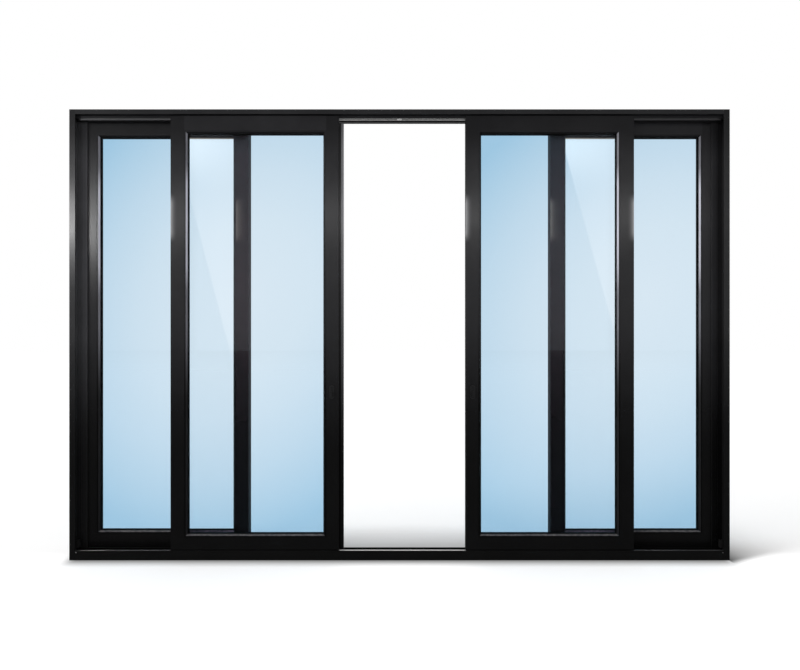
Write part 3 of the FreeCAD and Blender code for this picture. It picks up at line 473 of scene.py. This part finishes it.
sides = {"left": 1, "right": -1}
stainless = makeBrushed("brushedStainless", stainlessValues)
blackSteel = makeBrushed("blackenedSteel", blackSteelValues)
cornerSteel = makeBrushed("cornerScrewSteel", cornerValues)
clipSteel = makeBrushed("clipSteel", clipValues)
pile = makeRubber("blackPile", pileValues)
framePaint = makePaint("frameBlackPaint", frameValues)
topPaint = makePaint("slideTopBlackPaint", topValues)
slotFinishes = {
    "frame": makePaint("satinBlackPaint", paintValues),
    "gasket": makeRubber("gasketRubber", gasketValues),
    "stainless": stainless,
    "guide": makePaintedReflectionMetal("satinGuide", guideValues),
    "bumper": makeRubber("bumperRubber", bumperValues),
    "lock": makePaint("lockSatinBlack", lockValues),
    "astragal": makeSteppedPaint("astragalBlackPaint", astragalValues)}
nodeFinishes = {
    "frame_head": framePaint,
    "frame_sill": framePaint,
    "frame_jamb_left": makeSteppedPaint("leftJambBlackPaint", leftJambValues),
    "frame_jamb_right": makePaint("rightJambBlackPaint", rightJambValues),
    "jamb_covers": makeSteppedPaint("coverBlackPaint", coverValues),
    "left_slide_top_rail": topPaint,
    "right_fixed_top_rail": topPaint,
    "sill_roller_rail": makePaintedReflectionMetal("rollerRailSteel", railValues)}
for index, (node, (values, edge, inward)) in enumerate(glareStiles.items()):
    nodeFinishes[node] = makeGlarePaint(f"glarePaint{index}", values, edge, inward)
glass = {}
for side, toward in sides.items():
    glass[side] = makeGlass(f"{side}Glass", {**glassValues, **glassSides[side]})
    beadPaint = makeBeadPaint(f"{side}BeadBlackPaint", beadValues, toward)
    for panel in ("fixed", "slide"):
        nodeFinishes[f"{side}_{panel}_glass"] = glass[side]
        nodeFinishes[f"{side}_{panel}_beads"] = beadPaint


def dressNodes():
    slots = {row["node"]: row["material_slot"] for row in frame["record"]["subparts"]}
    for name, node in cadNodes.items():
        node.data.materials.clear()
        finish = nodeFinishes[name] if name in nodeFinishes else slotFinishes[slots[name]]
        node.data.materials.append(finish)


dressNodes()
print("finishes given to", len(cadNodes), "nodes")


# Modelling helpers

def selectOnly(*pieces):
    bpy.ops.object.select_all(action="DESELECT")
    for piece in pieces:
        piece.select_set(True)
    bpy.context.view_layer.objects.active = pieces[0]


def applyPlace():
    bpy.ops.object.transform_apply(location=True, rotation=True, scale=True)


def applyModifier(piece, kind, settings):
    modifier = piece.modifiers.new(kind, kind)
    for name, value in settings.items():
        setattr(modifier, name, value)
    selectOnly(piece)
    bpy.ops.object.modifier_apply(modifier=modifier.name)


def joinPieces(pieces):
    selectOnly(*pieces)
    if len(pieces) > 1:
        bpy.ops.object.join()
    return pieces[0]


def finishPiece(piece, name, body, material):
    # Its place goes into its mesh, so that the object itself sits at the origin.
    selectOnly(piece)
    applyPlace()
    piece.name = name
    piece.data.name = name
    piece.data.materials.clear()
    piece.data.materials.append(material)
    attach(piece, body)


def copyPiece(template):
    copy = template.copy()
    copy.data = template.data.copy()
    bpy.context.scene.collection.objects.link(copy)
    return copy


def placeCopies(template, spots, name, body, material):
    # One piece from a copy at each spot, whose +Z points along the spot's direction.
    copies = []
    for place, direction in spots:
        copies.append(copyPiece(template))
        turn = Vector(direction).to_track_quat("Z", "Y").to_matrix().to_4x4()
        copies[-1].matrix_world = Matrix.Translation(place) @ turn
    finishPiece(joinPieces(copies), name, body, material)


def addDisc(values):
    # A cylinder that stands on z = 0.
    bpy.ops.mesh.primitive_cylinder_add(
        vertices=values["sides"], radius=values["radius"], depth=values["height"],
        location=(0, 0, values["height"] / 2))
    return bpy.context.active_object


def addBlock(low, high):
    bpy.ops.mesh.primitive_cube_add(size=1.0, location=(Vector(low) + Vector(high)) / 2)
    block = bpy.context.active_object
    block.scale = Vector(high) - Vector(low)
    bpy.ops.object.transform_apply(location=False, rotation=False, scale=True)
    return block


def subtractBlock(piece, low, high):
    tool = addBlock(low, high)
    applyModifier(piece, "BOOLEAN", {"operation": "DIFFERENCE", "solver": "EXACT", "object": tool})
    bpy.data.objects.remove(tool, do_unlink=True)


# Screws: a domed head with a cross recess

anchorScrew = {
    "radius": 0.0055, "height": 0.003, "sides": 24, "doming": 0.7,
    "arm": 0.0027, "slot": 0.0011, "recess": 0.0014}
lockScrew = {
    "radius": 0.0031, "height": 0.0008, "sides": 24, "doming": 0.6,
    "arm": 0.0019, "slot": 0.0008, "recess": 0.0005}
cornerScrew = {
    "radius": 0.0036, "height": 0.0018, "sides": 24, "doming": 0.7,
    "arm": 0.0021, "slot": 0.0009, "recess": 0.0009}
screwShape = {"domeSteps": 4, "smoothAngle": 35}
screwPlaces = {
    "track": -0.0345, "jambWall": 1.7815, "jambFirst": 0.219, "jambStep": 0.4, "jambCount": 6,
    "headY": -0.018, "headUnder": 2.435, "headFirst": -1.5, "headStep": 0.5, "headCount": 7,
    "cornerX": 1.7485, "cornerZ": 0.041, "sillFace": -0.063,
    "lockX": {"left": -0.3675, "right": 0.3975}, "lockFace": -0.0565,
    "lockHeights": (0.9192, 0.8785)}
toRoom = (0, -1, 0)


def modelScrew(values):
    screw = addDisc(values)
    bpy.ops.object.mode_set(mode="EDIT")
    bpy.ops.mesh.select_all(action="DESELECT")
    bpy.ops.mesh.select_mode(type="EDGE")
    bpy.ops.object.mode_set(mode="OBJECT")
    for edge in screw.data.edges:
        edge.select = all(screw.data.vertices[index].co.z > 0 for index in edge.vertices)
    bpy.ops.object.mode_set(mode="EDIT")
    bpy.ops.mesh.bevel(offset=values["height"] * values["doming"],
                       segments=screwShape["domeSteps"], affect="EDGES")
    bpy.ops.object.mode_set(mode="OBJECT")
    arm, slot, top = values["arm"], values["slot"] / 2, values["height"]
    for x, y in ((arm, slot), (slot, arm)):
        subtractBlock(screw, (-x, -y, top - values["recess"]), (x, y, top * 2))
    selectOnly(screw)
    bpy.ops.object.shade_smooth_by_angle(angle=math.radians(screwShape["smoothAngle"]))
    return screw


def addScrews():
    p = screwPlaces
    anchor = modelScrew(anchorScrew)
    for side, toward in sides.items():
        spots = [((-toward * p["jambWall"], p["track"], p["jambFirst"] + p["jambStep"] * index),
                  (toward, 0, 0)) for index in range(p["jambCount"])]
        placeCopies(anchor, spots, f"{side}JambScrews", "frame", stainless)
    spots = [((p["headFirst"] + p["headStep"] * index, p["headY"], p["headUnder"]), (0, 0, -1))
             for index in range(p["headCount"])]
    placeCopies(anchor, spots, "headScrews", "frame", stainless)
    corner = modelScrew(cornerScrew)
    spots = [((-toward * p["cornerX"], p["sillFace"], p["cornerZ"]), toRoom)
             for toward in sides.values()]
    placeCopies(corner, spots, "sillCornerScrews", "frame", cornerSteel)
    small = modelScrew(lockScrew)
    for side, x in p["lockX"].items():
        spots = [((x, p["lockFace"], z), toRoom) for z in p["lockHeights"]]
        placeCopies(small, spots, f"{side}LockScrews", f"{side}_panel", blackSteel)
    for template in (anchor, corner, small):
        bpy.data.objects.remove(template, do_unlink=True)


addScrews()
print("screws placed")


# Key way: a plug with a slot in the face of each key cylinder

keyPlug = {
    "radius": 0.0042, "height": 0.0007, "sides": 32, "slotLength": 0.0056, "slotWidth": 0.0011,
    "recess": 0.0006, "face": -0.058, "z": 0.933, "bevel": 0.0001}


def addKeyWays():
    plug = addDisc(keyPlug)
    x, y, top = keyPlug["slotWidth"] / 2, keyPlug["slotLength"] / 2, keyPlug["height"]
    subtractBlock(plug, (-x, -y, top - keyPlug["recess"]), (x, y, top * 2))
    applyModifier(
        plug, "BEVEL", {"width": keyPlug["bevel"], "segments": 2, "limit_method": "ANGLE"})
    for side, x in screwPlaces["lockX"].items():
        spots = [((x, keyPlug["face"], keyPlug["z"]), toRoom)]
        placeCopies(plug, spots, f"{side}KeyWay", f"{side}_panel", blackSteel)
    bpy.data.objects.remove(plug, do_unlink=True)


addKeyWays()
print("key ways placed")


# Pile seals: rows of short tufts on a thin backing, behind the sliding interlock stiles and in the
# groove of the right meeting stile

pileSeal = {
    "height": 0.0044, "backing": 0.0005, "width": 0.0056, "tuftRadius": 0.0008, "tuftTop": 0.3,
    "tuftSides": 4, "rows": 3, "pitch": 0.0021, "tufts": 11, "lean": 0.0005, "bottom": 0.06,
    "top": 2.37, "seed": 11}
pilePlaces = [
    ("left_panel", "leftInterlockPile", (-1.1655, -0.0155), 1),
    ("right_panel", "rightInterlockPile", (1.1955, -0.0155), 1),
    ("right_panel", "grooveFrontPile", (0.368, -0.0435), 1),
    ("right_panel", "grooveBackPile", (0.368, -0.0255), -1)]


def modelPile(rng):
    # A run of tufts that repeats up the strip; it hangs from z = 0 and points along -Y.
    values = pileSeal
    tufts = []
    for row in range(values["rows"]):
        across = (row - (values["rows"] - 1) / 2) * values["width"] / values["rows"]
        for index in range(values["tufts"]):
            bpy.ops.mesh.primitive_cone_add(
                vertices=values["tuftSides"], radius1=values["tuftRadius"],
                radius2=values["tuftRadius"] * values["tuftTop"],
                depth=values["height"] - values["backing"],
                location=(0, 0, (values["height"] + values["backing"]) / 2),
                rotation=(0, 0, rng.uniform(0, math.pi)))
            tuft = bpy.context.active_object
            applyPlace()
            leanX = rng.uniform(-1, 1) * values["lean"]
            leanY = rng.uniform(-1, 1) * values["lean"]
            for vertex in tuft.data.vertices:
                if vertex.co.z > values["height"] / 2:
                    vertex.co.x += leanX
                    vertex.co.y += leanY
            tuft.location = (across, -(index + 0.5) * values["pitch"], 0)
            tufts.append(tuft)
    run = joinPieces(tufts)
    selectOnly(run)
    applyPlace()
    run.data.transform(Matrix.Rotation(math.radians(90), 4, "X"))
    return run


def addPileSeals():
    values = pileSeal
    run = modelPile(random.Random(values["seed"]))
    stretch = values["pitch"] * values["tufts"]
    half, bottom, top = values["width"] / 2, values["bottom"], values["top"]
    for body, name, (x, y), facing in pilePlaces:
        strip = copyPiece(run)
        applyModifier(strip, "ARRAY", {
            "count": int((top - bottom) / stretch), "use_relative_offset": False,
            "use_constant_offset": True, "constant_offset_displace": (0, 0, stretch)})
        if facing > 0:
            strip.rotation_euler = (0, 0, math.pi)
        strip.location = (x, y, bottom)
        front, back = sorted((y, y + facing * values["backing"]))
        backing = addBlock((x - half, front, bottom), (x + half, back, top))
        finishPiece(joinPieces([strip, backing]), name, body, pile)
    bpy.data.objects.remove(run, do_unlink=True)


addPileSeals()
print("pile seals placed")


# Joint clip: a bright folded plate over the joint in the middle of the head guide

jointClip = {
    "low": (-0.012, -0.0378, 2.3885), "high": (0.012, -0.037, 2.398), "bend": 0.0003}


def addJointClip():
    clip = addBlock(jointClip["low"], jointClip["high"])
    applyModifier(clip, "BEVEL", {"width": jointClip["bend"], "segments": 2})
    finishPiece(clip, "guideJointClip", "frame", clipSteel)


addJointClip()
print("joint clip placed")


# Stage: pale floor, white surroundings, lamps and camera

skyValues = {
    "lightTurn": (-0.6, 0.6), "light": (0.38, 0.95), "glossRise": (0.15, 0.42),
    "gloss": (0.62, 0.05), "behindTurn": (-0.2, 0.2), "behindGloss": 1.0, "seen": 1.0}
floorValues = {
    "size": 60.0, "colour": (0.95, 0.95, 0.95), "roughness": 0.9, "middle": (-0.05, 0.05),
    "lift": (0.49, 0.275), "farReach": (3.0, 14.0), "farGlowReach": (12.0, 29.0),
    "farGlow": (1.035, 1.0), "darkReflectionGlow": 0.10, "darkReflectionEdge": -0.05, "mirrored": 0.5}
shadeValues = {
    "behindReach": (0.06, 0.50), "behindDepth": 0.60, "frontReach": (-0.063, -0.15),
    "frontDepth": 0.74, "halfWidth": 1.79, "sideFade": 0.05, "fall": 1.15,
    "throughPanes": 1.0}
endShadeValues = {
    "x": 1.787, "start": -0.02, "reach": 0.7, "fall": 2.7, "depth": 0.93, "slope": 0.42,
    "y": -0.088, "edge": (-0.045, 0.03), "width": 0.58}
keyValues = {"strength": 0.8, "softness": 0.42, "azimuth": 14.0, "elevation": 32.0}
lampValues = {
    "strip": {"place": (-0.6, -4.06, 2.71), "size": (8.6, 0.22), "power": 45.0},
    "spot": {"place": (-4.3, -4.06, 2.62), "size": (0.7, 0.30), "power": 56.0}}
cameraView = {
    "place": (0.0, -3.014, 1.245), "lens": 24.57, "sensor": 36.0, "shift": (0.000625, -0.00625)}
upright = (math.radians(90), 0, 0)


def makeWorld():
    world = bpy.data.worlds.new("whiteStudio")
    bpy.context.scene.world = world
    world.use_nodes = True
    tree = world.node_tree
    tree.nodes.clear()
    toward = split(tree, addNode(tree, "TexCoord").outputs["Generated"])
    light = mapRange(tree, toward["Y"], *skyValues["lightTurn"], *skyValues["light"])
    # Shiny faces see the white background behind the door, and a dimmer room in front of it.
    front = mapRange(
        tree, toward["Z"], *skyValues["glossRise"], *skyValues["gloss"], "SMOOTHSTEP")
    behind = mapRange(tree, toward["Y"], *skyValues["behindTurn"])
    gloss = mix(tree, behind, front, skyValues["behindGloss"])
    path = addNode(tree, "LightPath").outputs
    unseen = mix(tree, path["Is Glossy Ray"], light, gloss)
    direct = calculate(tree, "MAXIMUM", path["Is Camera Ray"], path["Is Transmission Ray"])
    strength = mix(tree, direct, unseen, skyValues["seen"])
    background = addNode(tree, "Background", {"Color": white, "Strength": strength})
    addNode(tree, "OutputWorld", {"Surface": background.outputs["Background"]})


def addEndShade(tree, place):
    # The deepest part of the shadow beside the right jamb: a wedge that thins out to the right.
    values = endShadeValues
    beyond = calculate(tree, "SUBTRACT", place["X"], values["x"])
    thin = mapRange(tree, beyond, 0.0, values["reach"], 1.0, 0.0)
    outside = mapRange(tree, beyond, values["start"], 0.0, 0.0, values["depth"])
    slanted = calculate(tree, "MULTIPLY_ADD", beyond, -values["slope"], place["Y"])
    near, far = (values["y"] + offset for offset in values["edge"])
    edge = mapRange(tree, slanted, near, far, ease="SMOOTHSTEP")
    back = mapRange(tree, slanted, values["y"], values["y"] + values["width"], 1.0, 0.0)
    return multiply(tree, calculate(tree, "POWER", thin, values["fall"]), outside, edge, back)


def addFloorShade(tree, place):
    # How much of the floor's white is left: a soft shade lies along the sill, in front and behind.
    values = shadeValues
    away = calculate(tree, "ABSOLUTE", place["X"])
    start, end = (values["halfWidth"] + sign * values["sideFade"] for sign in (-1, 1))
    ends = mapRange(tree, away, start, end, 1.0, 0.0, "SMOOTHSTEP")
    shades = []
    for part in ("behind", "front"):
        fade = mapRange(tree, place["Y"], *values[part + "Reach"], 1.0, 0.0)
        curve = calculate(tree, "POWER", fade, values["fall"])
        shades.append(multiply(tree, curve, values[part + "Depth"]))
    inFront = calculate(tree, "LESS_THAN", place["Y"], 0.0)
    shade = multiply(tree, mix(tree, inFront, *shades), ends)
    darker = calculate(tree, "MAXIMUM", shade, addEndShade(tree, place))
    # The photo's panes show no shade on the floor behind them.
    path = addNode(tree, "LightPath").outputs
    clear = calculate(
        tree, "MULTIPLY_ADD", path["Is Transmission Ray"], -values["throughPanes"], 1.0)
    return calculate(tree, "SUBTRACT", 1.0, multiply(tree, darker, clear))


def makeFloor():
    values = floorValues
    bpy.ops.mesh.primitive_plane_add(size=values["size"], location=(0, 0, 0))
    floor = bpy.context.active_object
    floor.name = "floor"
    material, tree, shader = newMaterial("paleFloor")
    place = split(tree, objectPlace(tree))
    # What is left of the floor's white after the painted shade along the sill and beside the right
    # jamb.
    unshaded = addFloorShade(tree, place)
    far = mapRange(tree, place["Y"], *values["farReach"], ease="SMOOTHSTEP")
    painted = multiply(tree, unshaded, calculate(tree, "SUBTRACT", 1.0, far))
    path = addNode(tree, "LightPath").outputs
    direct = calculate(tree, "MAXIMUM", path["Is Camera Ray"], path["Is Transmission Ray"])
    seen = calculate(tree, "MAXIMUM", direct, path["Is Glossy Ray"])
    # The door keeps light off the floor in front of it, so that side is lifted more.
    rise = mapRange(tree, place["Y"], *values["middle"], *values["lift"])
    lift = multiply(tree, seen, rise, unshaded)
    # Far behind the door the floor runs into the white background.
    farGlow = mapRange(tree, place["Y"], *values["farGlowReach"], *values["farGlow"])
    feed(shader, {
        "Base Color": scale(tree, values["colour"], painted), "Roughness": values["roughness"],
        "Specular IOR Level": 0.0, "Emission Color": white,
        "Emission Strength": mix(tree, far, lift, multiply(tree, farGlow, seen))})
    # A painted dark reflection: to mirrored rays the floor before the door shows dark, which keeps
    # the black paint deep.
    darkReflection = addNode(tree, "Emission", {"Strength": values["darkReflectionGlow"]})
    before = calculate(tree, "LESS_THAN", place["Y"], values["darkReflectionEdge"])
    # Only a mirrored ray adds to the glossy depth; one that just passes through a pane does not.
    shiny = calculate(tree, "GREATER_THAN", path["Glossy Depth"], values["mirrored"])
    chooseShader(tree, multiply(tree, before, shiny), shader, darkReflection)
    floor.data.materials.append(material)
    floor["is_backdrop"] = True


def addLight(name, kind, power):
    data = bpy.data.lights.new(name, kind)
    data.energy = power
    lamp = bpy.data.objects.new(name, data)
    bpy.context.scene.collection.objects.link(lamp)
    return lamp, data


def addLights():
    lamp, data = addLight("keyLamp", "SUN", keyValues["strength"])
    data.angle = keyValues["softness"]
    azimuth, elevation = (math.radians(keyValues[name]) for name in ("azimuth", "elevation"))
    toward = Vector((math.cos(azimuth) * math.cos(elevation),
                     math.sin(azimuth) * math.cos(elevation), -math.sin(elevation)))
    lamp.rotation_euler = toward.to_track_quat("-Z", "Y").to_euler()
    # The glare lamps light all but the panes, as lamps flagged from the glass do.
    receivers = bpy.data.collections.new("glareReceivers")
    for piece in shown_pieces():
        if piece.data.materials[0] not in glass.values():
            receivers.objects.link(piece)
    for name, values in lampValues.items():
        lamp, data = addLight(f"{name}Lamp", "AREA", values["power"])
        data.shape = "RECTANGLE"
        data.size, data.size_y = values["size"]
        lamp.location = values["place"]
        lamp.rotation_euler = upright
        lamp.light_linking.receiver_collection = receivers


def addCamera():
    data = bpy.data.cameras.new("camera")
    data.sensor_width = cameraView["sensor"]
    data.lens = cameraView["lens"]
    data.shift_x, data.shift_y = cameraView["shift"]
    camera = bpy.data.objects.new("camera", data)
    bpy.context.scene.collection.objects.link(camera)
    camera.location = cameraView["place"]
    camera.rotation_euler = upright
    bpy.context.scene.camera = camera


makeWorld()
makeFloor()
addLights()
addCamera()
bpy.context.scene.view_settings.view_transform = "Standard"
print("studio ready")
